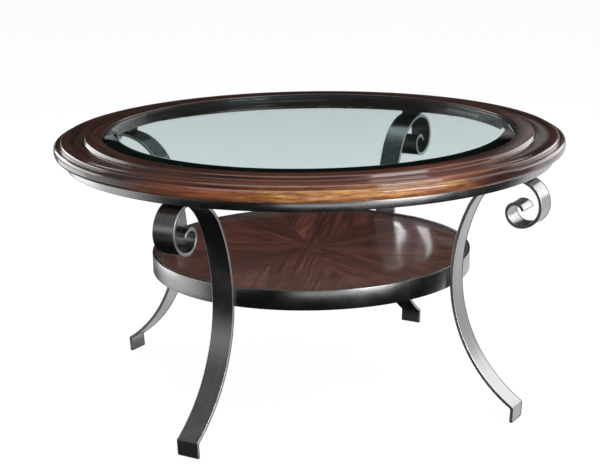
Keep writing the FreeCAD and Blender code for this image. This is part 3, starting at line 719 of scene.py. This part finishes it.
# the lower hoop's inside faces get black steel: painted shade along the edge of the shelf
second_material_inside(lower_hoop)
dress(lower_hoop, "frame", "pewter_steel", [steel, black_steel], "shelf_band")
dress(veneer_mesh("shelf_sunburst"), "frame", "veneer_wood", [veneer], "shelf_veneer")
for leg_name, leg_bearing in LEG_BEARINGS.items():
    leg = leg_mesh(f"scroll_leg_{leg_name}", leg_bearing)
    dress(leg, "frame", "pewter_steel", [steel, edge_steel], f"leg_{leg_name}")

for node_name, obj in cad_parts.items():
    match = next((key for key in CAD_FINISH if node_name.startswith(key)), None)
    if match is None:
        continue
    if not obj.material_slots:
        obj.data.materials.append(None)
    for material_slot in obj.material_slots:
        material_slot.material = CAD_FINISH[match]


# Camera, floor, world and lamps


def place_camera():
    data = bpy.data.cameras.new("camera")
    data.sensor_fit = "HORIZONTAL"
    data.sensor_width = SENSOR_WIDTH
    data.lens = FOCAL_PX / FRAME_WIDTH * SENSOR_WIDTH
    data.shift_x = (FRAME_WIDTH / 2 - CENTRE_PX[0]) / FRAME_WIDTH
    data.shift_y = (CENTRE_PX[1] - FRAME_HEIGHT / 2) / FRAME_WIDTH
    camera = bpy.data.objects.new("camera", data)
    scene.collection.objects.link(camera)
    scene.camera = camera
    rise = math.radians(CAMERA_ELEVATION)
    back_way = AHEAD * math.cos(rise) + Vector((0, 0, math.sin(rise)))
    camera.location = CAMERA_TARGET + back_way * CAMERA_DISTANCE
    camera.rotation_mode = "QUATERNION"
    level = (-back_way).to_track_quat("-Z", "Y")
    camera.rotation_quaternion = level @ Quaternion((0, 0, 1), math.radians(-CAMERA_ROLL))


def lay_floor():
    """White floor; what is mirrored in the table looks straight through it."""
    mesh = bpy.data.meshes.new("floor")
    bm = bmesh.new()
    bmesh.ops.create_grid(bm, x_segments=8, y_segments=8, size=FLOOR_SIZE)
    bm.to_mesh(mesh)
    bm.free()
    obj = bpy.data.objects.new("floor", mesh)
    scene.collection.objects.link(obj)
    obj.location.z = -FLOOR_DROP
    material, n = new_material("pale_floor")
    path = n.add("ShaderNodeLightPath").outputs
    seen = n.math("MAXIMUM", path["Is Camera Ray"], path["Is Transmission Ray"])
    mirrored = n.math("SUBTRACT", path["Is Glossy Ray"], path["Is Transmission Ray"], clamp=True)
    matt = n.shader("BsdfDiffuse", Color=(0.86, 0.86, 0.86))
    glow = n.shader("Emission", Color=(1, 1, 1), Strength=1.09)
    pale = n.mix_shader(n.times(seen, 0.86), matt, glow)
    n.output(Surface=n.mix_shader(mirrored, pale, n.shader("BsdfTransparent")))
    mesh.materials.append(material)


def studio_world():
    """White for what looks past the table, and a dim room for what is mirrored in it."""
    world = bpy.data.worlds.new("studio")
    world.use_nodes = True
    scene.world = world
    n = Nodes(world.node_tree)
    way = n.coordinates("Generated")
    height = n.dot(way, (0, 0, 1))
    turn = n.math("ARCTAN2", n.dot(way, tuple(ASIDE)), n.dot(way, tuple(AHEAD)))

    def by_bearing(low, high, *levels, of=turn):
        """A fade between two bearings, in degrees as for the lamps."""
        return n.span(of, math.radians(low), math.radians(high), *levels)

    def off(value, middle):
        return n.math("ABSOLUTE", n.math("SUBTRACT", value, middle))

    # white paper that comes up behind the table on both sides, seen in the steel
    to_right = n.times(by_bearing(107, 120), by_bearing(138, 162, 1.0, 0.75))
    to_left = n.times(by_bearing(-66, -104), by_bearing(-124, -152, 1.0, 0.14))
    below = n.span(height, 0.04, -0.06)
    low_right = n.times(below, n.span(height, -0.80, -0.62))
    low_left = n.times(below, n.span(height, -0.58, -0.36))
    flanks = n.times(n.span(height, 0.26, 0.12), n.span(height, -0.14, -0.04),
                     by_bearing(155, 140, of=n.math("ABSOLUTE", turn)))
    paper = n.math("ADD", n.times(to_right, n.math("MAXIMUM", low_right, flanks)),
                   n.times(to_left, n.math("MAXIMUM", low_left, flanks)), clamp=True)
    # a dim window on the left, brightest near the level of the table
    side_low = n.span(off(height, 0.12), 0.26, 0.04)
    side_high = n.times(n.span(height, 0.0, 0.2), n.span(height, 1.0, 0.5))
    side_glow = n.times(n.span(off(turn, math.radians(-76)), 0.80, 0.20),
                        n.weigh((side_low, 0.40), (side_high, 0.14)))
    # a small pale patch behind the table, a little above its level
    backdrop = n.times(n.times(n.span(height, 0.16, 0.195), n.span(height, 0.25, 0.205)),
                       n.times(by_bearing(164, 169), by_bearing(173.2, 171.2, 0.0, 0.34)))
    path = n.add("ShaderNodeLightPath").outputs
    through = path["Is Transmission Ray"]
    around = n.times(n.math("ADD", side_glow, paper), n.math("SUBTRACT", 1.0, through))
    room = n.math("ADD", n.span(height, 0.45, 0.90, 0.008, 0.12), around)
    room = n.math("ADD", room, backdrop, clamp=True)
    upward = n.math("GREATER_THAN", height, 0.05)
    seen = n.math("MAXIMUM", path["Is Camera Ray"], n.times(through, n.math("SUBTRACT", 1.0, upward)))
    mirrored = n.math("SUBTRACT", n.math("MAXIMUM", path["Is Glossy Ray"], through), seen, clamp=True)
    other = n.math("SUBTRACT", 1.0, n.math("MAXIMUM", seen, mirrored))
    strength = n.math("ADD", n.math("ADD", seen, n.times(mirrored, room)), n.times(other, 0.30))
    n.output("World", Surface=n.shader("Background", Color=(1, 1, 1), Strength=strength))
    world.cycles.sampling_method = "NONE"


def lamp(name, bearing, distance, height, size, power, aim_height):
    turn = math.radians(bearing)
    data = bpy.data.lights.new(name, "AREA")
    data.shape = "RECTANGLE"
    data.size, data.size_y = size
    data.energy = power
    obj = bpy.data.objects.new(name, data)
    scene.collection.objects.link(obj)
    aside, ahead = math.sin(turn) * distance, math.cos(turn) * distance
    obj.location = ASIDE * aside + AHEAD * ahead + Vector((0, 0, height))
    obj.rotation_mode = "QUATERNION"
    obj.rotation_quaternion = (Vector((0, 0, aim_height)) - obj.location).to_track_quat("-Z", "Y")
    return obj


place_camera()
lay_floor()
studio_world()
for settings in LAMPS:
    lamp(*settings)
for settings in STRIPS:
    strip = lamp(*settings)
    strip.visible_camera = False
    strip.visible_transmission = False

scene.view_settings.view_transform = "Standard"
